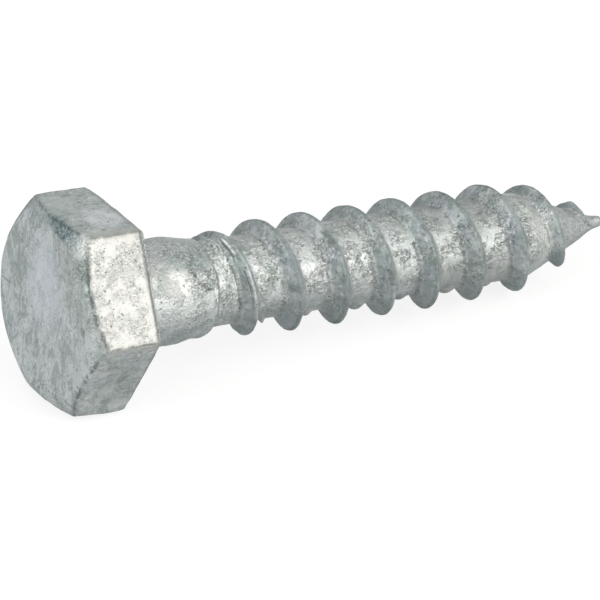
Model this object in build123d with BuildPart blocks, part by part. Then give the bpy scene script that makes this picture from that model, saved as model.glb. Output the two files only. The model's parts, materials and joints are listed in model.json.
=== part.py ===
"""Lag screw: a hexagon-head wood screw, nominally 10 x 50 mm, hot-dip galvanised.

One forged and rolled piece: a chamfered hexagon head, a short plain shank that
necks down to the thread blank, a coarse right-hand wood thread, and a gimlet
point whose last turn runs out just behind a small blunt nub.

The screw is drawn upright, with the head's bearing face on the XY plane and
the point at +Z. It is then laid down as it comes to rest on a floor at Z = 0:
on the bearing-side edge of one head flat and on the last full thread crest.
Lengths are in millimetres and angles in degrees.
"""
import os
from math import atan2, cos, radians, sin, tan

from build123d import *

# ---- head ----
across_flats = 17.0
head_height = 6.0
head_face_diameter = 15.8
head_chamfer_angle = 27.0
head_corner_radius = 0.6
bearing_edge_chamfer = 0.2

# ---- shank and neck ----
shank_diameter = 9.5
shank_length = 6.0
neck_diameter = 8.4
neck_length = 3.1
neck_step_length = 0.4
under_head_bevel = 0.5

# ---- thread ----
screw_length = 49.5
thread_diameter = 10.0
root_diameter = 7.6
pitch = 4.5
crest_width = 0.25
flank_angle = 60.0
root_bevel_height = 0.2
root_bevel_width = 0.35
run_in_turns = 0.7

# ---- gimlet point ----
point_length = 8.8
last_full_crest_setback = 0.56
run_out_turns = 0.35
run_out_setback = 1.3
crest_end_diameter = 1.8  # where the taper of the crest would reach the end
nub_diameter = 1.2
nub_length = 1.1
nub_end_diameter = 0.8
tip_diameter = 0.4
tip_length = 0.25

# ---- how the ridge of the thread is drawn ----
sections_per_turn = 12
ridge_sink = 0.2
last_height_share = 0.1

# ---- places along the axis, counted from the bearing face ----
neck_end = shank_length + neck_length
point_start = screw_length - point_length
nub_start = screw_length - nub_length
last_full_crest = point_start - last_full_crest_setback

# ---- the thread's turns, counted from the last full crest where it faces down: the thread
# climbs to the second of these, runs level to the third, tapers and runs out from the fourth ----
first_turn = (neck_end - last_full_crest) / pitch
level_turn = first_turn + run_in_turns
taper_turn = last_full_crest_setback / pitch
last_turn = (screw_length - run_out_setback - last_full_crest) / pitch
run_out_turn = last_turn - run_out_turns

# ---- the ridge at full height: half widths at the crest, where the flank meets the bevel of
# its root, and at its foot below the root ----
thread_depth = (thread_diameter - root_diameter) / 2
crest_offset = crest_width / 2
flank_offset = crest_offset + (thread_depth - root_bevel_height) * tan(radians(flank_angle / 2))
foot_offset = flank_offset + (root_bevel_height + ridge_sink) * root_bevel_width / root_bevel_height


def root_radius_at(place):
    """Radius of the core: the thread's root, then the cone of the point, then its nub."""
    along_cone = min(max((place - point_start) / (nub_start - point_start), 0), 1)
    return (root_diameter + along_cone * (nub_diameter - root_diameter)) / 2


def crest_radius_at(place, turn):
    """Radius of the crest: it climbs from the neck, runs level, then tapers towards the end."""
    along_run_in = min((turn - first_turn) / run_in_turns, 1)
    along_point = max((place - point_start) / point_length, 0)
    level = (neck_diameter + along_run_in * (thread_diameter - neck_diameter)) / 2
    return level + along_point * (crest_end_diameter / 2 - level)


def ridge_points(turn):
    """The ridge's section at this turn, as points of radius and place along the axis.

    The section keeps its proportions and shrinks with its height. Its foot follows the slope
    of the root, just below it, so that the ridge grows out of the core.
    """
    place = last_full_crest + pitch * turn
    height = crest_radius_at(place, turn) - root_radius_at(place)
    along_run_out = max((turn - run_out_turn) / run_out_turns, 0)
    share = (1 - along_run_out * (1 - last_height_share)) * height / thread_depth

    def at(rise, offset):
        along = place + share * offset
        return (root_radius_at(along) + share * rise, along)

    return [
        at(-ridge_sink, -foot_offset),
        at(root_bevel_height, -flank_offset),
        at(thread_depth, -crest_offset),
        at(thread_depth, crest_offset),
        at(root_bevel_height, flank_offset),
        at(-ridge_sink, foot_offset),
    ]


with BuildPart() as lag_screw:
    # Head: a hexagon with rounded corners and a broken edge round its bearing face.
    with BuildSketch(Plane.XY.offset(-head_height)):
        RegularPolygon(across_flats / 2, 6, major_radius=False, rotation=30)
    extrude(amount=head_height)
    fillet(lag_screw.edges().filter_by(Axis.Z), head_corner_radius)
    chamfer(lag_screw.faces().sort_by(Axis.Z)[-1].edges(), bearing_edge_chamfer)

    # Its outer end is forged to a flat round face inside a crowned chamfer, part of a sphere
    # that leaves the face's rim at the chamfer angle and trims the six corners.
    crown_radius = head_face_diameter / 2 / sin(radians(head_chamfer_angle))
    crown_centre = crown_radius * cos(radians(head_chamfer_angle)) - head_height
    with Locations((0, 0, crown_centre)):
        Sphere(crown_radius, mode=Mode.INTERSECT)

    # Shank, neck, thread root and point: one profile, turned about the axis.
    with BuildSketch(Plane.XZ):
        with BuildLine():
            Polyline(
                (0, -head_height / 2),
                (shank_diameter / 2 + under_head_bevel, -head_height / 2),
                (shank_diameter / 2 + under_head_bevel, 0),
                (shank_diameter / 2, under_head_bevel),
                (shank_diameter / 2, shank_length),
                (neck_diameter / 2, neck_end),
                (root_diameter / 2, neck_end + neck_step_length),
                (root_diameter / 2, point_start),
                (nub_diameter / 2, nub_start),
                (nub_end_diameter / 2, screw_length - tip_length),
                (tip_diameter / 2, screw_length),
                (0, screw_length),
                close=True,
            )
        make_face()
    revolve(axis=Axis.Z)

    # Thread: its ridge, lofted about one turn at a time through sections that face outwards
    # from the axis and follow the helix. A loft ends wherever the ridge changes its course.
    courses = [first_turn, level_turn, taper_turn, run_out_turn, last_turn]
    for course_start, course_end in zip(courses, courses[1:]):
        loft_count = max(round(course_end - course_start), 1)
        loft_turns = (course_end - course_start) / loft_count
        section_gaps = max(round(loft_turns * sections_per_turn), 3)
        for loft_index in range(loft_count):
            for section_index in range(section_gaps + 1):
                turn = course_start + loft_turns * (loft_index + section_index / section_gaps)
                with BuildSketch(Plane.XZ.rotated((0, 0, 360 * turn))):
                    with BuildLine():
                        Polyline(*ridge_points(turn), close=True)
                    make_face()
            loft()

# ---- at rest: a bearing edge of the head and the last full crest touch the floor ----
rest_tilt = atan2((across_flats - thread_diameter) / 2, last_full_crest + crest_width / 2)
towards_point = Vector(cos(rest_tilt), 0, -sin(rest_tilt))
towards_floor = Vector(-sin(rest_tilt), 0, -cos(rest_tilt))
bearing_height = across_flats / 2 * cos(rest_tilt)
head_reach = head_height * cos(rest_tilt) + head_face_diameter / 2 * sin(rest_tilt)
point_reach = screw_length * cos(rest_tilt) + tip_diameter / 2 * sin(rest_tilt)
bearing_centre = ((head_reach - point_reach) / 2, 0, bearing_height)
lag_screw.part.locate(Plane(bearing_centre, x_dir=towards_floor, z_dir=towards_point).location)

lag_screw.part.label = "lag_screw"
os.makedirs("parts", exist_ok=True)
export_step(lag_screw.part, "parts/lag_screw.step")
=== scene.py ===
import json

import bpy
import numpy as np
from mathutils import Matrix, Vector, noise


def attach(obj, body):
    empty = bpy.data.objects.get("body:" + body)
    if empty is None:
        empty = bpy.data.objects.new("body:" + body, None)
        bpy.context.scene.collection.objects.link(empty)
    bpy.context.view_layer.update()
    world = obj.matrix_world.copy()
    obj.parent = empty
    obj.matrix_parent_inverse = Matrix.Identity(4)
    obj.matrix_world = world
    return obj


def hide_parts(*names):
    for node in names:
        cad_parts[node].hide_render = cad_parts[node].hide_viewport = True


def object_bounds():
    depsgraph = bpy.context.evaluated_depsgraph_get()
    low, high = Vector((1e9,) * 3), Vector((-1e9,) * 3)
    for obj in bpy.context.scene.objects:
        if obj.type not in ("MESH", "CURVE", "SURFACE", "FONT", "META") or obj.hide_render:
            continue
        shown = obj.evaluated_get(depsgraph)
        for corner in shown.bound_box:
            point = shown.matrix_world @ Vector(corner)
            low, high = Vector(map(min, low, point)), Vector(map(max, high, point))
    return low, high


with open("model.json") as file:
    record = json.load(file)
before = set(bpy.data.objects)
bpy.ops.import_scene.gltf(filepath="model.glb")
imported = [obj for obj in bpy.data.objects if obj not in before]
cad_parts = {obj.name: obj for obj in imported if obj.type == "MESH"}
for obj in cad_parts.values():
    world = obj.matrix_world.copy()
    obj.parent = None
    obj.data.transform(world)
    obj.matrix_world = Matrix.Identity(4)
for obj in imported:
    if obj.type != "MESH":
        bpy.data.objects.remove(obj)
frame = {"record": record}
cad_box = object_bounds()

# ---- where the screw lies ----
# The solid's own mounts say it: the shank's axis runs towards the point, the lower wrench flat
# faces the floor, and the bearing face crosses the axis at the centre that the rest counts from.
mounts = {mount["name"]: mount for mount in frame["record"]["mounts"]}
towards_point = Vector(mounts["shank"]["axis"]).normalized()
towards_floor = Vector(mounts["wrench_flat_bottom"]["axis"]).normalized()
shank_middle = Vector(mounts["shank"]["pos_m"])
bearing_offset = (Vector(mounts["bearing_face"]["pos_m"]) - shank_middle).dot(towards_point)
bearing_centre = shank_middle + bearing_offset * towards_point
screw_axes = Matrix((towards_floor, towards_point.cross(towards_floor), towards_point))
screw_place = Matrix.Translation(bearing_centre) @ screw_axes.transposed().to_4x4()

# ---- camera ----
# A long lens in front of the head, a little to its side and above it.
camera_azimuth = np.radians(-28.22)
camera_elevation = np.radians(26.25)
camera_distance = 0.9
aim_right = 0.01661
aim_down = 0.00011
camera_back = Vector(
    (
        np.sin(camera_azimuth) * np.cos(camera_elevation),
        -np.cos(camera_azimuth) * np.cos(camera_elevation),
        np.sin(camera_elevation),
    )
)
camera_right = Vector((np.cos(camera_azimuth), np.sin(camera_azimuth), 0))
camera_up = camera_back.cross(camera_right)
aim = bearing_centre + aim_right * camera_right - aim_down * camera_up
camera = bpy.data.objects.new("camera", bpy.data.cameras.new("camera"))
camera.location = bearing_centre + camera_distance * camera_back
camera.rotation_euler = (camera.location - aim).to_track_quat("Z", "Y").to_euler()
camera.data.lens = 631.1
camera.data.sensor_width = 36
camera.data.clip_start = 0.05
camera.data.clip_end = 20
bpy.context.scene.collection.objects.link(camera)
bpy.context.scene.camera = camera


# ---- the screw: its form ----
# One piece of forged steel with a rolled coarse thread, dipped in molten zinc: a hexagon head
# with a crowned end, a short shank, a neck, and a thread that runs out on a gimlet point.

# Sizes are in millimetres, places along the axis are counted from the bearing face, and
# angles round the axis from where the surface faces the floor.
across_flats = 17.0
head_height = 6.0
face_radius = 7.9
chamfer_angle = np.radians(27.0)
corner_radius = 0.4
bearing_edge = 0.12
pitch = 4.5
crest_radius = 5.0
root_radius = 3.8
crest_half_width = 0.14
flank_half_angle = np.radians(34.0)
root_bevel_height = 0.06
root_bevel_width = 0.25
neck_radius = 4.2
neck_end = 9.1
screw_length = 49.5
last_full_crest = 40.14
run_in_turns = 0.7
run_out_turns = 0.35
run_out_setback = 1.3
nub_end_radius = 0.4
core_places = [0.0, 0.5, 6.0, 8.75, 9.05, 40.7, 48.4, 49.25, 49.5]
core_radii = [5.25, 4.70, 4.70, 4.15, 3.78, 3.8, 0.62, 0.42, 0.2]
crest_taper_places = [40.3, 42.0, 42.8, 44.3, 46.5, 48.3]
crest_taper_radii = [5.0, 4.42, 4.15, 3.33, 2.28, 1.0]

# The forging's own faults. The hexagon sits off the axis, its bearing side leans, its low side
# is slighter and drawn in towards the face, its corners are worn at the bearing side, the roots
# are hollow on the low side, and the nub is bent.
head_lift = 0.18
head_lean = 0.45
head_lean_angle = np.radians(-10)
low_trim = 0.2
low_trim_angle = np.radians(335)
end_taper = 0.032
end_taper_angle = np.radians(5)
corner_wear = 0.1
low_corner_wear = 0.1
low_corner_angle = np.radians(320)
corner_wear_length = 1.3
corner_wear_reach = np.radians(7)
low_hollow = 0.14
low_hollow_places = [9, 12, 38, 42]
low_hollow_shares = [0.4, 1, 1, 0]
nub_bend = 0.13
nub_bend_places = [46.5, 48.5]

# The ridge's section at full height, softened as the zinc fills its root and rounds its crest.
zinc_softening = 0.09
thread_depth = crest_radius - root_radius
flank_foot = crest_half_width + (thread_depth - root_bevel_height) * np.tan(flank_half_angle)
section_offsets = np.linspace(-4, 4, 801)
section_rise = np.interp(
    np.abs(section_offsets),
    [crest_half_width, flank_foot, flank_foot + root_bevel_width],
    [thread_depth, root_bevel_height, 0],
)
softening = np.exp(-0.5 * (np.linspace(-1, 1, 201) / zinc_softening) ** 2)
section_rise = np.convolve(section_rise, softening / softening.sum(), mode="same")
section_rise *= thread_depth / section_rise.max()
first_turn = (neck_end - last_full_crest) / pitch
last_turn = (screw_length - run_out_setback - last_full_crest) / pitch

# Folds and fine ridges that the rolling left beside the thread's start: the turns over which
# each one runs, its offset from the thread's middle at both ends, its height and its width.
start_ridges = [
    (-6.66, -6.38, -1.02, -1.10, 0.48, 0.34),
    (-6.68, -6.38, 0.95, 1.10, 0.22, 0.60),
    (-7.45, -7.15, 1.75, 1.00, 0.07, 0.10),
    (-7.42, -7.22, 2.05, 1.45, 0.09, 0.11),
    (-6.58, -6.15, -1.72, -1.80, 0.15, 0.13),
    (-6.52, -6.20, -0.50, -1.45, 0.13, 0.12),
    (-6.62, -6.35, 0.75, 0.55, 0.08, 0.12),
]

# How far the crest rises or falls where it faces down and slightly forward, turn by turn, and
# how far it is pushed towards the point there. Where it faces the other way, up and slightly
# back, it drops a little and is pushed evenly.
high_side_angle = np.radians(150.8)
low_crest_turns = [-6.58, -6.08, -5.08, -4.08, -3.08, -2.08, -1.08, -0.08, 0.42]
low_crest_lifts = [0.0, 0.0, 0.20, 0.26, 0.16, 0.20, 0.08, -0.14, 0.0]
low_crest_pushes = [0.14, 0.14, 0.04, 0.04, 0.24, 0.12, 0.20, 0.25, 0.25]
high_crest_push = 0.1
high_crest_drop = 0.04


def low_and_high(angle):
    """How far a place round the axis faces down and how far up, each from 0 to 1."""
    upward = 0.5 * np.cos(angle - high_side_angle)
    return (0.5 - upward) ** 3, (0.5 + upward) ** 3


def ridge_at(angle, place):
    """The thread's ridge nearest to a place: its turn, the offset from it and its height."""
    low_side, high_side = low_and_high(angle)
    low_crest_places = last_full_crest + pitch * np.array(low_crest_turns)
    place = place - low_side * np.interp(place, low_crest_places, low_crest_pushes)
    place = place - high_side * high_crest_push
    whole_turns = np.round((place - last_full_crest) / pitch - angle / (2 * np.pi))
    turn = whole_turns + angle / (2 * np.pi)
    middle = last_full_crest + pitch * turn
    run_in = np.clip((turn - first_turn) / run_in_turns, 0, 1)
    run_out = np.clip((turn - last_turn) / run_out_turns + 1, 0, 1)
    crest = np.interp(middle, crest_taper_places, crest_taper_radii)
    crest = neck_radius + run_in * (crest - neck_radius)
    crest = crest + low_side * np.interp(turn, low_crest_turns, low_crest_lifts)
    crest = crest - high_side * high_crest_drop
    height = crest - np.interp(middle, core_places, core_radii)
    share = np.clip(height / thread_depth * (1 - 0.9 * run_out), 0.001, 2)
    share = np.where((turn < first_turn) | (turn > last_turn), 0.001, share)
    return turn, place - middle, share


def body_radius(angle, place):
    """Radius below the head: the turned core with the thread's ridge on it."""
    turn, offset, share = ridge_at(angle, place)
    rise = share * np.interp(offset / share, section_offsets, section_rise)
    for turn_from, turn_to, offset_from, offset_to, ridge_height, ridge_width in start_ridges:
        along = (turn - turn_from) / (turn_to - turn_from)
        fade = np.clip(4 * along, 0, 1) * np.clip(4 - 4 * along, 0, 1)
        beside = offset - offset_from - along * (offset_to - offset_from)
        rise = rise + ridge_height * fade * np.exp(-((beside / ridge_width) ** 2))
    low_side, high_side = low_and_high(angle)
    hollow = low_hollow * low_side * np.interp(place, low_hollow_places, low_hollow_shares)
    return np.interp(place, core_places, core_radii) - hollow + rise


# The surface is laid in columns along the screw, closer together at the head's corners, and in
# rows round it. Each point gets a number, and a patch of numbers becomes faces.
column_count = 176
row_count = 32
even_angles = np.arange(column_count) / column_count * 2 * np.pi
angles = even_angles + np.sin(6 * even_angles) / 12
points = []
faces = []


def lay_points(angle, radius, place):
    """Adds points, with the hexagon's lift and the nub's bend, and gives their numbers."""
    first = len(points)
    angle, radius, place = np.broadcast_arrays(*np.atleast_1d(angle, radius, place))
    lift = np.interp(place, [-0.1, 0.1], [head_lift, 0]) * (0.5 - 0.5 * np.cos(angle))
    bend = np.interp(place, nub_bend_places, [0, nub_bend])
    points.extend(zip(radius * np.cos(angle) - lift - bend, radius * np.sin(angle), place))
    return np.arange(first, len(points))


def lay_patch(numbers):
    """Adds the faces between the rows and columns of a grid of point numbers."""
    for lower, upper in zip(numbers, numbers[1:]):
        for corners in zip(lower, lower[1:], upper[1:], upper):
            corners = list(dict.fromkeys(int(corner) for corner in corners))
            if len(corners) > 2:
                faces.append(corners)


# The hexagon, as the reach from the axis at each angle, with its corners rounded by an arc.
off_corner = np.abs(angles % (np.pi / 3) - np.pi / 6)
corner_centre = (across_flats / 2 - corner_radius) / np.cos(np.pi / 6)
corner_bow = np.sqrt(np.maximum(corner_radius**2 - (corner_centre * np.sin(off_corner)) ** 2, 0))
corner_end = np.arctan(corner_radius / 2 / (corner_centre + corner_radius * np.cos(np.pi / 6)))
hexagon = np.where(
    off_corner < corner_end,
    corner_centre * np.cos(off_corner) + corner_bow,
    across_flats / 2 / np.cos(np.pi / 6 - off_corner),
)
hexagon = hexagon - low_trim * np.clip(np.cos(angles - low_trim_angle), 0, 1) ** 2

# Rings from the middle of the face outwards: the face, its crown, the flats, the bearing edge
# and face, the shank and the neck. Each is a radius and a place along the axis at each angle.
face_rings = 46
crown_rings = 12
flat_rings = 32
bearing_rings = 24
shank_rings = 56
thread_zone_start = 8.1
rings = []
for radius in np.linspace(0, face_radius, face_rings):
    rings.append((radius + 0 * angles, -head_height + 0 * angles))
crown_radius = face_radius / np.sin(chamfer_angle)
crown_centre = crown_radius * np.cos(chamfer_angle) - head_height
for share in np.linspace(0, 1, crown_rings)[1:]:
    reach = face_radius + share * (hexagon - face_radius)
    rings.append((reach, crown_centre - np.sqrt(crown_radius**2 - reach**2)))
crown_rim = crown_centre - np.sqrt(crown_radius**2 - hexagon**2)
worn = corner_wear + low_corner_wear * np.clip(np.cos(angles - low_corner_angle), 0, 1)
worn = worn * np.exp(-((off_corner / corner_wear_reach) ** 2))
for share in np.linspace(0, 1, flat_rings)[1:]:
    place = crown_rim + share * (-bearing_edge - crown_rim)
    nearness = np.clip((place + corner_wear_length) / corner_wear_length, 0, 1) ** 2.5
    rings.append((hexagon - nearness * worn, place))
bearing_reach = hexagon - bearing_edge - worn
for share in np.linspace(0, 1, bearing_rings):
    rings.append(((1 - share) * bearing_reach + share * core_radii[0], 0 * angles))
for place in np.linspace(0, thread_zone_start, shank_rings)[1:]:
    rings.append((body_radius(angles, place), place + 0 * angles))

# The head's taper and lean, and one softening of all its edges.
rings = np.array(rings)
outer = np.clip((rings[:, 0] - core_radii[0]) / 2, 0, 1) * (rings[:, 1] < 0.1)
back_share = np.interp(rings[:, 1], [-4, -0.3], [0, 1])
front_share = np.interp(rings[:, 1], [-6, -2], [1, 0])
rings[:, 0] *= 1 - end_taper * front_share * np.clip(np.cos(angles - end_taper_angle), 0, 1) ** 2
rings[:, 1] += head_lean * outer * back_share * (0.5 - 0.5 * np.cos(angles - head_lean_angle))
rings[1:-1] = (rings[:-2] + 2 * rings[1:-1] + rings[2:]) / 4

# How near each point is to the head's edges, where the zinc drains: the crown's rim, just
# inside and ahead of it, the corners, a little less, and the bearing edge, whose dark line is
# a painted shade.
rim_inward = 0.15
rim_ahead = 0.05
corner_remove = 0.1
edge_reach = 0.2
bearing_edge_reach = 0.17
rim_distance = np.hypot(hexagon - rim_inward - rings[:, 0], crown_rim - rim_ahead - rings[:, 1])
corner_distance = np.hypot(hexagon * off_corner, hexagon - rings[:, 0]) + corner_remove
bearing_distance = np.hypot(hexagon - rings[:, 0], rings[:, 1])
head_edge = np.exp(-((np.minimum(rim_distance, corner_distance) / edge_reach) ** 2))
head_edge = np.maximum(head_edge, np.exp(-((bearing_distance / bearing_edge_reach) ** 2)))
ring_numbers = [lay_points(angles, radius, place) for radius, place in rings]
ring_numbers[0][:] = ring_numbers[0][0]
lay_patch([np.append(numbers, numbers[0]) for numbers in ring_numbers])

# Thread: rows that climb with the helix, so that each turn's last row is the next one's first.
# A wedge of rows fans out of the neck's last ring, and another closes on the point's first.
thread_zone_turns = 9
thread_zone_end = thread_zone_start + thread_zone_turns * pitch
turn_share = angles / (2 * np.pi)
seam = [ring_numbers[-1][0]]
climbing = []
for row in range((thread_zone_turns - 1) * row_count + 1):
    place = thread_zone_start + pitch * (row / row_count + turn_share[1:])
    climbing.append(lay_points(angles[1:], body_radius(angles[1:], place), place))
for row in range(1, thread_zone_turns * row_count + 1):
    place = thread_zone_start + pitch * row / row_count
    seam.extend(lay_points(0.0, body_radius(0.0, place), place))
closing_ring = lay_points(angles, body_radius(angles, thread_zone_end), thread_zone_end)
closing_ring[0] = seam[-1]
opening = [np.append(ring_numbers[-1], seam[0])]
closing = [np.concatenate(([seam[-1 - row_count]], climbing[-1], [seam[-1]]))]
for row in range(1, row_count):
    place = thread_zone_start + pitch * row / row_count * turn_share[1:]
    numbers = lay_points(angles[1:], body_radius(angles[1:], place), place)
    opening.append(np.concatenate(([seam[0]], numbers, [seam[row]])))
    place = thread_zone_end - pitch * (1 - row / row_count) * (1 - turn_share[1:])
    numbers = lay_points(angles[1:], body_radius(angles[1:], place), place)
    closing.append(np.concatenate(([seam[row - 1 - row_count]], numbers, [seam[-1]])))
opening.append(np.concatenate(([seam[0]], climbing[0], [seam[row_count]])))
closing.append(np.append(closing_ring, closing_ring[0]))
climbing = [
    np.concatenate(([seam[row]], numbers, [seam[row + row_count]]))
    for row, numbers in enumerate(climbing)
]
lay_patch(opening)
lay_patch(climbing)
lay_patch(closing)

# The nub, which ends in a rounded edge as high as its end is long.
nub_end_length = 0.25
tip_rings = [closing_ring]
for place in np.linspace(thread_zone_end, screw_length - nub_end_length, 6)[1:]:
    tip_rings.append(lay_points(angles, body_radius(angles, place), place))
for lean in np.radians([30, 60]):
    place = screw_length - nub_end_length + nub_end_length * np.sin(lean)
    tip_rings.append(lay_points(angles, nub_end_radius * np.cos(lean), place))
tip_rings.append(np.full(column_count, lay_points(0.0, 0.0, screw_length)[0]))
lay_patch([np.append(numbers, numbers[0]) for numbers in tip_rings])

screw_mesh = bpy.data.meshes.new("galvanised_screw")
screw_mesh.from_pydata([tuple(float(x) for x in point) for point in points], [], faces)
screw_mesh.shade_smooth()

# Zinc lies in low swells and fine grains, each with its scale in swells a millimetre and its
# height, and hangs in lumps and drips under the neck and the roots, each with its place along
# the axis, its angle, its height, and its reach along and round.
swells = [(0.45, 0.045), (1.3, 0.03), (3.1, 0.014), (5.3, 0.008)]
lumps = [
    (8.3, 325, 0.22, 0.6, 3.0),
    (14.5, 329, 0.40, 0.20, 0.26),
    (18.9, 331, 0.34, 0.40, 0.8),
    (23.9, 332, 0.50, 0.75, 0.9),
    (28.3, 331, 0.26, 0.5, 0.8),
    (33.0, 330, 0.34, 0.65, 0.8),
    (36.9, 331, 0.26, 0.45, 0.8),
    (46.9, 160, 0.12, 0.5, 0.5),
    (49.0, 200, 0.10, 0.35, 0.4),
]
thickness = []
for vertex in screw_mesh.vertices:
    thickness.append(sum(height * noise.noise(vertex.co * scale) for scale, height in swells))
thickness = np.array(thickness)
spots = np.array(points)
spot_angle = np.degrees(np.arctan2(spots[:, 1], spots[:, 0])) % 360
spot_radius = np.hypot(spots[:, 0], spots[:, 1])
for place, angle, height, reach_along, reach_round in lumps:
    round_distance = spot_radius * np.radians((spot_angle - angle + 180) % 360 - 180)
    along_distance = spots[:, 2] - place
    nearness = np.hypot(along_distance / reach_along, round_distance / reach_round)
    thickness += height * np.exp(-(nearness**2.5))
normals = np.array([vertex.normal for vertex in screw_mesh.vertices])
spots += normals * thickness[:, None]
screw_mesh.vertices.foreach_set("co", spots.astype(np.float32).ravel())

# Where the finish changes: up the ridge, from 0 at its root to 1 at its crest, and along dark
# lines: one at the ridge's near root, a painted shade on its far flank, and those that the
# draining zinc leaves at the head's edges, with a painted shade at the bearing edge. Offsets
# from the crest are in heights of the ridge.
near_root = -1.06
near_root_reach = 0.13
far_flank = 0.5
far_flank_reach = 0.28
ridge = (spot_radius - np.interp(spots[:, 2], core_places, core_radii)) / thread_depth
ridge = np.where(spots[:, 2] > thread_zone_start, np.clip(ridge, 0, 1), 0)
turn, offset, share = ridge_at(np.radians(spot_angle), spots[:, 2])
near_line = np.exp(-(((offset / share - near_root) / near_root_reach) ** 2))
far_flank_shade = np.exp(-(((offset / share - far_flank) / far_flank_reach) ** 2))
# The far flank's line is a painted shade, where that flank turns from the light.
drain_line = np.maximum(near_line, 0.55 * far_flank_shade) * (share > 0.1)
for numbers, edge in zip(ring_numbers, head_edge):
    drain_line[numbers] = np.where(spots[numbers, 2] < 0.3, edge, drain_line[numbers])
screw_mesh.attributes.new("ridge", "FLOAT", "POINT").data.foreach_set("value", ridge)
screw_mesh.attributes.new("drain_line", "FLOAT", "POINT").data.foreach_set("value", drain_line)
screw_mesh.transform(screw_place @ Matrix.Scale(0.001, 4))
screw = bpy.data.objects.new("galvanised_screw", screw_mesh)
bpy.context.scene.collection.objects.link(screw)


# ---- the screw: its zinc ----
# The screw was dipped in molten zinc, which froze in clouds of green and lavender grey. It is
# crinkled in the roots, duller on the flanks and dark where it drained off an edge. A painted
# highlight brightens the roots and the shank, a painted light lifts the face and part of the
# crown, and a painted shade darkens the lower side, the crests, the far flanks and the
# bearing edge.
class Wire:
    """A value in a finish's node tree; arithmetic on it adds Math nodes."""

    def __init__(self, tree, socket=None):
        self.tree = tree
        self.socket = socket

    def node(self, kind, settings=(), sockets=(), output=0):
        """Adds a node: its settings first, then values or links for its sockets."""
        made = self.tree.nodes.new(kind)
        for name, value in dict(settings).items():
            if name == "stops":
                ramp = made.color_ramp
                while len(ramp.elements) < len(value):
                    ramp.elements.new(0.5)
                for element, (position, colour) in zip(ramp.elements, value):
                    element.position = position
                    element.color = colour
            else:
                setattr(made, name, value)
        for name, value in dict(sockets).items():
            if isinstance(value, Wire):
                self.tree.links.new(value.socket, made.inputs[name])
            else:
                made.inputs[name].default_value = value
        return Wire(self.tree, made.outputs[output])

    def math(self, operation, *values):
        return self.node("ShaderNodeMath", {"operation": operation}, enumerate(values))

    def __add__(self, other):
        return self.math("ADD", self, other)

    def __sub__(self, other):
        return self.math("SUBTRACT", self, other)

    def __mul__(self, other):
        return self.math("MULTIPLY", self, other)

    def __rsub__(self, other):
        return self.math("SUBTRACT", other, self)

    __radd__ = __add__
    __rmul__ = __mul__


galvanising = bpy.data.materials.new("galvanised_steel")
galvanising.use_nodes = True
tree = galvanising.node_tree
zinc = tree.nodes["Principled BSDF"]
finish = Wire(tree)

# Places on the screw in its own millimetres: x towards the floor and z towards the point.
here = finish.node(
    "ShaderNodeMapping",
    {"vector_type": "TEXTURE"},
    {
        "Vector": finish.node("ShaderNodeTexCoord", output="Object"),
        "Location": bearing_centre,
        "Rotation": screw_place.to_euler(),
        "Scale": (0.001, 0.001, 0.001),
    },
)


def grain(scale, detail, roughness, stretch=(1, 1, 1), distortion=0.0, shift=0.0):
    """Noise over the screw, its scale in lumps a millimetre."""
    stretched = finish.node(
        "ShaderNodeMapping",
        {},
        {"Vector": here, "Scale": stretch, "Location": (shift, 1.7 * shift, -shift)},
    )
    return finish.node(
        "ShaderNodeTexNoise",
        {},
        {
            "Vector": stretched,
            "Scale": scale,
            "Detail": detail,
            "Roughness": roughness,
            "Distortion": distortion,
        },
    )


def between(value, low, high):
    """Rises from 0 to 1 as the value goes from low to high."""
    return finish.node(
        "ShaderNodeMapRange",
        {"interpolation_type": "SMOOTHSTEP"},
        {"Value": value, "From Min": low, "From Max": high},
    )


def mixed(share, under, over):
    """Lays one colour over another."""
    sockets = {0: share, 6: under, 7: over}
    return finish.node("ShaderNodeMix", {"data_type": "RGBA"}, sockets, output=2)


# Places nudged about, for stains with ragged edges.
nudge_reach = 1.6
nudge = finish.node(
    "ShaderNodeTexNoise",
    {},
    {"Vector": here, "Scale": 1.4, "Detail": 4, "Roughness": 0.7},
    output="Color",
)
nudge = finish.node(
    "ShaderNodeVectorMath", {"operation": "SUBTRACT"}, {0: nudge, 1: (0.5, 0.5, 0.5)}
)
nudged = finish.node(
    "ShaderNodeVectorMath",
    {"operation": "MULTIPLY_ADD"},
    {0: nudge, 1: (nudge_reach, nudge_reach, nudge_reach), 2: here},
)


def stain(where, reach, blur, spread=nudged):
    """A spot: its angle, radius and place along the screw, and its reach out, round and along."""
    angle, radius, place = where
    turn = np.radians(angle)
    centred = finish.node(
        "ShaderNodeMapping",
        {"vector_type": "TEXTURE"},
        {
            "Vector": spread,
            "Location": (radius * np.cos(turn), radius * np.sin(turn), place),
            "Rotation": (0, 0, turn),
            "Scale": reach,
        },
    )
    distance = finish.node(
        "ShaderNodeVectorMath", {"operation": "LENGTH"}, {0: centred}, output="Value"
    )
    return between(distance, 1 + blur, 1 - blur)


# The screw's parts, as shares from 0 to 1. Around is the angle round the axis, and beyond_start
# is how far past the thread's first ridge a place lies.
across = finish.node("ShaderNodeSeparateXYZ", {}, {0: here}, output="X")
sideways = finish.node("ShaderNodeSeparateXYZ", {}, {0: here}, output="Y")
along = finish.node("ShaderNodeSeparateXYZ", {}, {0: here}, output="Z")
around = finish.math("ARCTAN2", -1 * sideways, -1 * across) * (180 / np.pi) + 180
beyond_start = along - around * (pitch / 360) - (last_full_crest - 7 * pitch)
ridge_share = finish.node("ShaderNodeAttribute", {"attribute_name": "ridge"}, {}, output="Fac")
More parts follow.
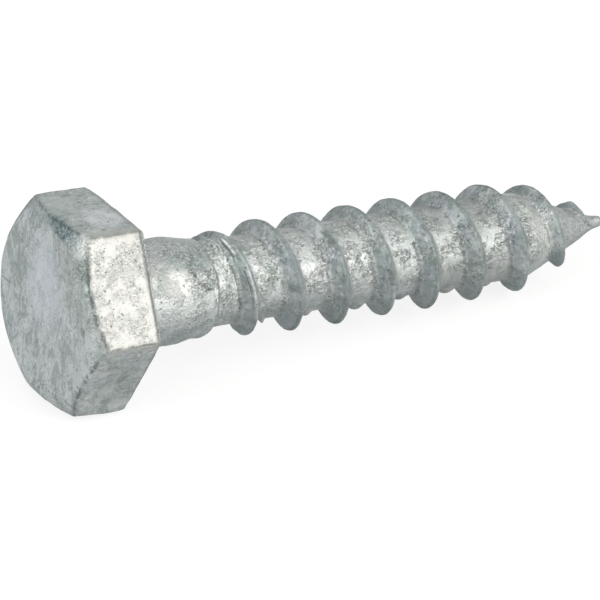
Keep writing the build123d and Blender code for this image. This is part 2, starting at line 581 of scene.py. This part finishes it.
# Dark lines from the mesh: drained zinc, and a painted shade on the far flanks and bearing edge.
edge_line_and_shade = finish.node("ShaderNodeAttribute", {"attribute_name": "drain_line"}, {}, output="Fac")
on_flank = between(ridge_share, 0.06, 0.24)
on_crest = between(ridge_share, 0.82, 0.97)
on_face = between(along, -5.3, -5.9)
on_head = between(along, 0.3, 0.0)
front_reach = finish.node(
    "ShaderNodeVectorMath",
    {"operation": "DOT_PRODUCT"},
    {0: here, 1: (-0.5, -0.866, 0)},
    output="Value",
)
on_front_flat = between(front_reach, 7.95, 8.15) * on_head * (1 - on_face)
on_point = between(along, 42.3, 44.4)
on_nub = between(along, 46.8, 47.8)

# Colour: lavender and green greys in cloudy patches, drawn out along the flats and the face.
blotches = grain(0.30, 5, 0.66, distortion=1.2)
clouds = grain(1.1, 5, 0.68, distortion=0.6, shift=3)
face_streaks = grain(1.0, 5, 0.62, stretch=(0.2, 1, 1), distortion=0.5, shift=5)
flat_streaks = grain(1.1, 5, 0.62, stretch=(1, 1, 0.22), distortion=0.5, shift=7)
streaks = face_streaks * on_face + flat_streaks * (1 - on_face)
shade = blotches * 0.44 + clouds * 0.30 + streaks * 0.26
green_zinc = finish.node(
    "ShaderNodeValToRGB",
    {
        "stops": [
            (0.38, (0.180, 0.225, 0.214, 1)),
            (0.45, (0.285, 0.335, 0.320, 1)),
            (0.53, (0.375, 0.420, 0.403, 1)),
            (0.60, (0.500, 0.532, 0.514, 1)),
        ]
    },
    {"Fac": shade},
)
lavender_zinc = finish.node(
    "ShaderNodeValToRGB",
    {
        "stops": [
            (0.38, (0.210, 0.242, 0.258, 1)),
            (0.45, (0.315, 0.347, 0.363, 1)),
            (0.53, (0.412, 0.438, 0.456, 1)),
            (0.60, (0.530, 0.550, 0.568, 1)),
        ]
    },
    {"Fac": shade},
)
hue = between(grain(0.5, 4, 0.62, distortion=1.4, shift=31), 0.43, 0.55)
zinc_grey = mixed(hue, green_zinc, lavender_zinc)

# Head: paler zinc over it and its face, and a painted light that lifts the face further,
# broken by dark patches, and a mottle over the screw.
zinc_grey = mixed(on_head * 0.24, zinc_grey, (0.68, 0.71, 0.71, 1))
# The face: paler zinc, and a painted light that lifts the face as a whole.
zinc_grey = mixed(on_face * 0.42, zinc_grey, (0.66, 0.70, 0.71, 1))
dark_patches = grain(0.8, 5, 0.7, stretch=(0.5, 1, 0.6), distortion=1.5, shift=27)
dark_patches = between(dark_patches, 0.51, 0.535) * on_head
zinc_grey = mixed(dark_patches * (0.45 + 0.15 * on_face), zinc_grey, (0.24, 0.295, 0.28, 1))
mottle = between(grain(1.5, 4, 0.65, distortion=1.2, shift=35), 0.49, 0.52)
zinc_grey = mixed(mottle * 0.2, zinc_grey, (0.19, 0.24, 0.235, 1))

# Head: stains on the face, its rim and crown, and the flats, with a painted shade over the low
# flat, which faces the floor, and a painted light on the crown beside it.
pale_middle = stain((168, 2.1, -6), (3.9, 2.9, 2), 0.4)
zinc_grey = mixed(pale_middle * 0.66, zinc_grey, (0.59, 0.62, 0.665, 1))
dark_rim = stain((114, 5.2, -6), (1.4, 1.8, 2), 0.5)
dark_crown = stain((168, 8.4, -5.8), (0.8, 2.4, 0.9), 0.5)
zinc_grey = mixed((dark_rim + dark_crown) * 0.4, zinc_grey, (0.24, 0.295, 0.285, 1))
rim_blobs = stain((229, 8.5, -5.65), (0.45, 0.6, 0.5), 0.35)
rim_blobs = rim_blobs + stain((239, 8.4, -5.7), (0.4, 0.4, 0.5), 0.35)
low_streaks = stain((285, 8.7, -4.0), (0.8, 0.3, 1.4), 0.5)
low_streaks = low_streaks + stain((296, 8.4, -2.2), (0.8, 0.8, 0.5), 0.5)
# A painted shade over the low flat, which faces the floor.
low_flat_shade = stain((303, 8.5, -2.0), (0.9, 3.0, 2.4), 0.5)
dark_marks_and_shade = (rim_blobs * 0.7 + low_streaks * 0.35 + low_flat_shade * 0.2) * on_head
zinc_grey = mixed(dark_marks_and_shade, zinc_grey, (0.12, 0.155, 0.145, 1))
face_dot = stain((76, 2.26, -6), (0.1, 0.1, 0.3), 0.3, spread=here)
zinc_grey = mixed(face_dot * 0.7, zinc_grey, (0.16, 0.14, 0.12, 1))
pale_top = stain((193, 8.75, -2.0), (0.9, 2.2, 1.7), 0.2)
zinc_grey = mixed(pale_top * on_head * 0.68, zinc_grey, (0.58, 0.605, 0.635, 1))
green_top = stain((164, 8.9, -3.2), (0.9, 2.3, 1.7), 0.3)
zinc_grey = mixed(green_top * on_head * 0.4, zinc_grey, (0.40, 0.465, 0.435, 1))
top_marks = stain((157, 9.4, -2.6), (0.5, 0.26, 0.5), 0.4)
top_marks = top_marks + stain((167, 8.9, -2.2), (0.5, 0.2, 0.34), 0.4)
zinc_grey = mixed(top_marks * 0.6, zinc_grey, (0.14, 0.175, 0.165, 1))
green_crown = stain((234, 6.7, -5.9), (1.9, 3.9, 1.2), 0.3) * (1 - on_front_flat)
zinc_grey = mixed(green_crown * on_head * 0.5, zinc_grey, (0.48, 0.535, 0.51, 1))
# A painted light on the crown beside the low flat.
lit_crown = stain((286, 7.1, -5.9), (1.7, 2.0, 1.2), 0.5)
zinc_grey = mixed(lit_crown * 0.5, zinc_grey, (0.50, 0.54, 0.535, 1))

# Shank: dull places towards the neck and on its top, and a painted shade over its upper side,
# with a hard edge where the band that mirrors the key light begins.
dull_neck = stain((214, 4.5, 7.0), (1.5, 1.0, 2.3), 0.3)
zinc_grey = mixed(dull_neck * 0.75, zinc_grey, (0.165, 0.225, 0.21, 1))
dull_top = stain((192, 4.5, 7.6), (1.5, 1.6, 2.0), 0.5)
zinc_grey = mixed(dull_top * 0.45, zinc_grey, (0.235, 0.295, 0.31, 1))
# A painted shade over the upper side, above the band that mirrors the key light.
shank_shade = between(around, 226, 221) * between(around, 188, 204)
shank_shade = shank_shade * between(along, 3.6, 4.6) * between(along, 9.2, 8.2)
zinc_grey = mixed(shank_shade * 0.65, zinc_grey, (0.18, 0.24, 0.245, 1))

# Thread and point: a dull point and nub, a rusty nub's end, dull flanks, one of them pale, and
# crests darkened by a painted shade.
pale_flank = stain((209, 4.3, 24.0), (1.5, 1.3, 0.9), 0.5)
zinc_grey = mixed(pale_flank * 0.5, zinc_grey, (0.55, 0.58, 0.555, 1))
nub_rust = stain((230, 0.5, 49.0), (0.8, 0.8, 0.9), 0.5)
zinc_grey = mixed(nub_rust * 0.6, zinc_grey, (0.16, 0.14, 0.12, 1))
zinc_grey = mixed(on_point * 0.62 + on_nub * 0.2, zinc_grey, (0.22, 0.255, 0.265, 1))
dull_flank = on_flank * between(clouds, 0.60, 0.40)
zinc_grey = mixed(dull_flank * 0.4, zinc_grey, (0.22, 0.265, 0.265, 1))
# A painted shade on the crests, which damps their highlight.
zinc_grey = mixed(on_crest * 0.38, zinc_grey, (0.14, 0.18, 0.18, 1))

# Painted highlight in the roots and on the shank, where they mirror the key light, duller on
# the later roots, a painted shade on the lower side, and the front flat, which mirrors the key
# light, painted an even warm grey that tones its reflection.
# A painted shade on the lower side, off the head.
lower_side_shade = between(around, 268, 300) * (1 - on_head)
zinc_grey = mixed(lower_side_shade * 0.3, zinc_grey, (0.23, 0.28, 0.285, 1))
shank_low = between(around, 247, 262) * between(along, 8.7, 8.3) * (1 - on_head)
zinc_grey = mixed(shank_low * 0.25, zinc_grey, (0.36, 0.415, 0.45, 1))
dim_roots = between(along, 23, 36) * between(along, 40.5, 38.5)
# Where the highlight is painted: off the flanks and the head, weaker on the later roots and the
# lower side.
highlight_zone = (1 - on_flank) * (1 - on_head) * (1 - 0.75 * dim_roots) * (1 - 0.7 * lower_side_shade)
smooth_shank = stain((245, 4.7, 3.0), (2.5, 4.0, 2.8), 0.4)
shank_highlight = stain((240, 4.7, 4.6), (1.5, 1.1, 1.3), 0.6)
# The painted highlight, strongest on the shank.
painted_highlight = highlight_zone * (0.22 + 0.1 * smooth_shank + 0.38 * shank_highlight)
zinc_grey = mixed(painted_highlight, zinc_grey, (0.68, 0.68, 0.655, 1))
late_roots = between(along, 29, 31.5) * between(along, 39.5, 38) * (1 - on_flank)
zinc_grey = mixed(late_roots * 0.35, zinc_grey, (0.33, 0.335, 0.32, 1))
last_root = stain((238, 3.6, 41.3), (1.2, 1.7, 1.0), 0.5)
zinc_grey = mixed(last_root * 0.45, zinc_grey, (0.60, 0.605, 0.58, 1))
# The front flat, which mirrors the key light, painted an even warm grey that tones its
# reflection.
zinc_grey = mixed(on_front_flat * 0.68, zinc_grey, (0.385, 0.38, 0.36, 1))

# Specks and creases in the frozen skin, thickest in crinkled places: the light specks are
# painted glints, and the creases are darkened with a painted shade.
crinkled_places = between(grain(0.6, 4, 0.65, shift=11), 0.45, 0.55)
specks = grain(4.6, 3, 0.6, shift=13)
calm = (1 - 0.75 * smooth_shank) * (1 - 0.5 * on_point) * (1 - 0.7 * last_root)
busy = (0.15 + 0.6 * crinkled_places + 0.2 * highlight_zone) * calm
# Light specks: painted glints, more where the highlight is painted.
glint_specks = between(specks, 0.57, 0.63) * busy * (0.35 + 0.35 * highlight_zone)
zinc_grey = mixed(glint_specks, zinc_grey, (0.80, 0.81, 0.78, 1))
dark_specks = between(specks, 0.42, 0.36) * busy * (0.5 + 0.15 * highlight_zone - 0.3 * on_front_flat)
zinc_grey = mixed(dark_specks, zinc_grey, (0.15, 0.175, 0.16, 1))
fine_specks = between(grain(7.5, 2, 0.6, shift=19), 0.41, 0.33) * (0.15 + 0.2 * on_front_flat)
zinc_grey = mixed(fine_specks, zinc_grey, (0.15, 0.165, 0.15, 1))
crease = grain(2.6, 4, 0.65, stretch=(1, 1, 0.6), distortion=0.8, shift=9)
crease = finish.math("ABSOLUTE", crease - 0.5)
# The creases, darkened with a painted shade.
shaded_creases = between(crease, 0.035, 0.0) * crinkled_places
shaded_creases = shaded_creases * (1 - 0.7 * on_face) * (1 - 0.78 * on_front_flat)
shaded_creases = shaded_creases * (1 - 0.8 * smooth_shank) * (1 - 0.6 * on_point) * (1 - 0.7 * last_root)
crinkled_neck = stain((236, 4.6, 6.9), (1.5, 1.4, 1.3), 0.5)
shaded_creases = shaded_creases + crinkled_neck * between(crease, 0.05, 0.01) * 0.8
shaded_creases = shaded_creases + green_crown * between(crease, 0.04, 0.01) * 0.5
zinc_grey = mixed(shaded_creases * 0.55, zinc_grey, (0.14, 0.165, 0.155, 1))


def start_line(angle_from, angle_to, offset_from, offset_to, width):
    """A line beside the thread's first ridge, between two angles and offsets from the ridge."""
    slope = (offset_to - offset_from) / (angle_to - angle_from)
    aside = beyond_start - around * slope - (offset_from - slope * angle_from)
    aside = between(finish.math("ABSOLUTE", aside), width, 0.3 * width)
    begun = between(around, angle_from - 3, angle_from + 3)
    ended = between(around, angle_to + 3, angle_to - 3)
    return aside * begun * ended


# Thread's start: green, with flecks that are painted glints, and thin folds with a painted
# highlight on their lips and a painted shade in their seams.
green_start = stain((205, 4.3, 11.3), (1.5, 2.2, 1.2), 0.4)
zinc_grey = mixed(green_start * 0.45, zinc_grey, (0.26, 0.33, 0.30, 1))
# Flecks: painted glints.
glint_flecks = stain((203, 4.1, 10.2), (1.5, 2.0, 1.3), 0.4) * between(specks, 0.51, 0.57)
zinc_grey = mixed(glint_flecks * 0.42, zinc_grey, (0.85, 0.87, 0.83, 1))
torn = between(grain(1.6, 3, 0.6, shift=41), 0.38, 0.46)
highlit_lips = torn * (
    start_line(176, 207, -0.80, -1.08, 0.14)
    + start_line(188, 206, -0.60, -0.72, 0.07)
    + start_line(185, 212, -0.22, -0.30, 0.12)
    + start_line(219, 227, -2.65, -2.20, 0.12)
    + 0.2 * start_line(236, 292, 0.00, 0.12, 0.22)
)
shaded_seams = torn * (
    start_line(180, 206, -0.70, -0.88, 0.06)
    + start_line(190, 214, -0.40, -0.46, 0.06)
    + start_line(212, 243, -0.92, -0.98, 0.10)
    + 0.7 * start_line(232, 280, -0.32, -0.16, 0.06)
)
# A painted highlight on the folds' lips and a painted shade in their seams.
zinc_grey = mixed(highlit_lips * 0.85, zinc_grey, (0.92, 0.93, 0.90, 1))
zinc_grey = mixed(shaded_seams * 0.5, zinc_grey, (0.12, 0.15, 0.14, 1))

# Dark lines where the zinc drained off an edge, with a painted shade on the far flanks and at
# the bearing edge, broken up, and left off one soft corner.
broken = between(grain(0.9, 6, 0.75, distortion=1.0, shift=15), 0.45, 0.56)
ragged_edge = between(grain(1.6, 4, 0.7, shift=43), 0.40, 0.50)
broken = finish.math("MAXIMUM", broken, between(along, -3, -1) * on_head * ragged_edge)
soft_corner = stain((275, 9.3, -4.8), (1.0, 1.3, 0.6), 0.4)
lines = edge_line_and_shade * broken * (0.6 + 0.4 * on_head) * (1 - 0.8 * soft_corner)
zinc_grey = mixed(lines * 0.85, zinc_grey, (0.12, 0.15, 0.14, 1))

# Single marks on the head: a blue-black patch and crumbs on the crown, specks at the face's
# rim, and a scratch and a spot of rust on the face.
blue_patch = stain((191, 8.3, -5.8), (0.7, 2.1, 0.9), 0.5)
blue_patch = blue_patch * (0.4 + 0.45 * between(specks, 0.60, 0.46))
zinc_grey = mixed(blue_patch, zinc_grey, (0.085, 0.14, 0.15, 1))
cluster = stain((223, 8.1, -5.9), (0.9, 1.0, 0.7), 0.5) * between(specks, 0.56, 0.44)
oval_speck = stain((263, 6.85, -6), (0.36, 0.42, 0.5), 0.35, spread=here)
zinc_grey = mixed(cluster * 0.75 + oval_speck * 0.5, zinc_grey, (0.14, 0.175, 0.155, 1))
rim_specks = stain((350, 6.8, -6), (0.7, 2.6, 0.6), 0.5) * between(specks, 0.47, 0.39)
zinc_grey = mixed(rim_specks * 0.7, zinc_grey, (0.14, 0.165, 0.155, 1))
crumbs = stain((213, 9.2, -5.3), (0.6, 1.0, 0.6), 0.5) * between(specks, 0.42, 0.56)
zinc_grey = mixed(crumbs * 0.7, zinc_grey, (0.72, 0.74, 0.70, 1))
scratch = stain((90, 6.85, -6), (0.7, 0.08, 0.5), 0.3, spread=here)
zinc_grey = mixed(scratch * 0.6, zinc_grey, (0.10, 0.12, 0.115, 1))
rust = stain((202, 7.0, -6), (0.3, 0.3, 0.6), 0.3)
zinc_grey = mixed(rust * 0.6, zinc_grey, (0.42, 0.30, 0.19, 1))

# Single marks behind the head: marks on two crests, a ring-shaped crater in a root, the groove
# and two dashes at the neck, and pits all over.
crest_marks = stain((212, 4.95, 20.1), (0.6, 1.0, 0.3), 0.4)
crest_marks = crest_marks + stain((265, 5.0, 25.5), (0.5, 0.5, 0.28), 0.4)
crater = stain((243, 3.8, 22.8), (0.9, 0.36, 0.36), 0.25)
crater = crater - stain((243, 3.8, 22.8), (0.9, 0.24, 0.24), 0.25)
zinc_grey = mixed(crest_marks * 0.6 + crater * 0.5, zinc_grey, (0.10, 0.125, 0.12, 1))
neck_groove = stain((259, 4.2, 8.82), (1.2, 3.2, 0.10), 0.5, spread=here)
neck_dashes = stain((199.5, 4.2, 8.62), (0.5, 0.13, 0.22), 0.3, spread=here)
neck_dashes = neck_dashes + stain((249, 4.35, 7.8), (0.5, 0.14, 0.32), 0.3, spread=here)
zinc_grey = mixed(neck_groove * 0.6 + neck_dashes * 0.7, zinc_grey, (0.10, 0.12, 0.115, 1))
pits = between(grain(3.1, 2, 0.5, shift=17), 0.67, 0.72)
zinc_grey = mixed(pits * 0.5, zinc_grey, (0.12, 0.14, 0.14, 1))
tree.links.new(zinc_grey.socket, zinc.inputs["Base Color"])

# Surface: crinkled most where the highlight is painted, in the roots and on the shank, smoother
# on the flanks and the face.
crinkle = grain(4.5, 3, 0.65, shift=21)
relief = (
    crinkle * (0.4 + 0.6 * crinkled_places) * (0.35 + 0.65 * highlight_zone)
    + 0.4 * grain(1.4, 2, 0.5, shift=23) * (1 - 0.7 * on_front_flat)
    - 0.5 * pits
    - 0.25 * shaded_creases
    - 0.5 * lines
    + 1.2 * highlit_lips
    - 0.8 * shaded_seams
)
bump = finish.node(
    "ShaderNodeBump", {}, {"Strength": 0.8, "Distance": 0.00022, "Height": relief}
)
tree.links.new(bump.socket, zinc.inputs["Normal"])
roughness = 0.34 + clouds * 0.2 + on_flank * 0.1 + on_crest * 0.2 + on_face * 0.12 + pits * 0.2
tree.links.new(roughness.socket, zinc.inputs["Roughness"])
zinc.inputs["Metallic"].default_value = 0.5
zinc.inputs["Specular IOR Level"].default_value = 0.3
zinc.inputs["Specular Tint"].default_value = (0.6, 0.62, 0.62, 1)
screw_mesh.materials.append(galvanising)
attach(screw, "root")
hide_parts("lag_screw")

# ---- floor and light ----
# A white paper floor that runs out of sight, a warm softbox that the shank and the front flat
# mirror, a softer one from the head's side, a weak one overhead, and an even white studio.
floor_mesh = bpy.data.meshes.new("floor")
floor_mesh.from_pydata([(-2, -2, 0), (2, -2, 0), (2, 2, 0), (-2, 2, 0)], [], [(0, 1, 2, 3)])
floor = bpy.data.objects.new("floor", floor_mesh)
floor.location.z = cad_box[0][2]
bpy.context.scene.collection.objects.link(floor)
paper = bpy.data.materials.new("white_paper")
paper.use_nodes = True
floor_mesh.materials.append(paper)
paper_tree = paper.node_tree
sheet = Wire(paper_tree)


def seen_by_camera(wire):
    """1 for the rays that reach the camera straight, or off or through the screw."""
    glossy = wire.node("ShaderNodeLightPath", output="Is Glossy Ray")
    transmitted = wire.node("ShaderNodeLightPath", output="Is Transmission Ray")
    straight = wire.node("ShaderNodeLightPath", output="Is Camera Ray")
    return wire.math("MAXIMUM", straight, wire.math("MAXIMUM", glossy, transmitted))


# White to the camera, with the screw's shadow, and a dimmer grey to the light that bounces.
dim_paper = sheet.node("ShaderNodeBsdfDiffuse", {}, {"Color": (0.3, 0.3, 0.3, 1)})
shaded_paper = sheet.node("ShaderNodeBsdfDiffuse", {}, {"Color": (0.22, 0.22, 0.22, 1)})
glow = sheet.node("ShaderNodeEmission", {}, {"Color": (1, 1, 1, 1), "Strength": 0.82})
white_paper = sheet.node("ShaderNodeAddShader", {}, {0: shaded_paper, 1: glow})
surface = sheet.node(
    "ShaderNodeMixShader", {}, {0: seen_by_camera(sheet), 1: dim_paper, 2: white_paper}
)
paper_tree.links.new(surface.socket, paper_tree.nodes["Material Output"].inputs["Surface"])


def softbox(name, direction, distance, size, power, colour=(1, 1, 1)):
    """A square soft light, aimed at the screw from a direction."""
    lamp = bpy.data.objects.new(name, bpy.data.lights.new(name, "AREA"))
    lamp.data.shape = "SQUARE"
    lamp.data.size = size
    lamp.data.energy = power
    lamp.data.color = colour
    lamp.location = Vector(direction).normalized() * distance
    lamp.rotation_euler = lamp.location.to_track_quat("Z", "Y").to_euler()
    bpy.context.scene.collection.objects.link(lamp)


softbox("key", (0.424, -0.80, 0.36), 0.5, 0.40, 2.4, (1, 0.96, 0.91))
softbox("fill", (-0.9, -0.35, 0.35), 0.5, 0.5, 1.3)
softbox("overhead", (-0.5, -0.3, 0.8), 0.5, 0.5, 0.4)

world = bpy.data.worlds.new("studio")
bpy.context.scene.world = world
world.use_nodes = True
world_tree = world.node_tree
sky = Wire(world_tree)
ambient = sky.node("ShaderNodeBackground", {}, {"Color": (1, 1, 1, 1), "Strength": 0.5})
backdrop = sky.node("ShaderNodeBackground", {}, {"Color": (1, 1, 1, 1), "Strength": 1.0})
studio = sky.node("ShaderNodeMixShader", {}, {0: seen_by_camera(sky), 1: ambient, 2: backdrop})
world_tree.links.new(studio.socket, world_tree.nodes["World Output"].inputs["Surface"])
bpy.context.scene.view_settings.view_transform = "Standard"
